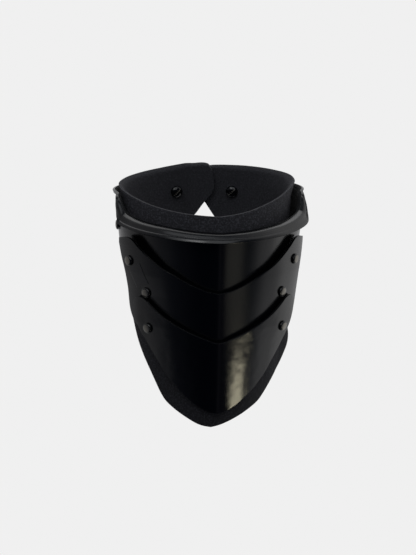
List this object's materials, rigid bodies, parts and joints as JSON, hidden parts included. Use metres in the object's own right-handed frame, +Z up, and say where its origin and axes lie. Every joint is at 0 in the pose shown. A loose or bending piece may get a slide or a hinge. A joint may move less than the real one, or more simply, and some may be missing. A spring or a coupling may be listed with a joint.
{
  "type": "steel gorget",
  "caption": "Black steel throat guard: flared collar plate over two overlapping pointed lames, riveted to a foam liner that closes behind the neck.",
  "frame": {"origin": "centre of the neck opening, level with the outer edge of the front lip", "axes": "+Z up as it is worn, along the neck; the front of the gorget looks along -Y; +X is to the right in the picture"},
  "size_m": [0.1616, 0.1422, 0.1934],
  "materials": {
    "black_paint": "gloss black enamel on sheet steel",
    "black_foam": "matt black closed-cell foam with a fine grain",
    "rivet_steel": "dull dark steel cap",
    "screw_black": "gloss black",
    "strip_black": "plain black webbing",
    "patch_black": "satin black film, bare"
  },
  "bodies": {
    "root": {"neck_plate": "black_paint", "upper_lame": "black_paint", "lower_lame": "black_paint", "foam_liner": "black_foam", "label_patch": "patch_black", "collar_rivet_l": "rivet_steel", "collar_rivet_r": "rivet_steel", "upper_rivet_l": "rivet_steel", "upper_rivet_r": "rivet_steel", "middle_rivet_l": "rivet_steel", "middle_rivet_r": "rivet_steel", "lower_rivet_l": "rivet_steel", "lower_rivet_r": "rivet_steel", "back_screw_l": "screw_black", "back_screw_r": "screw_black", "back_closure": "strip_black"}
  },
  "joints": []
}
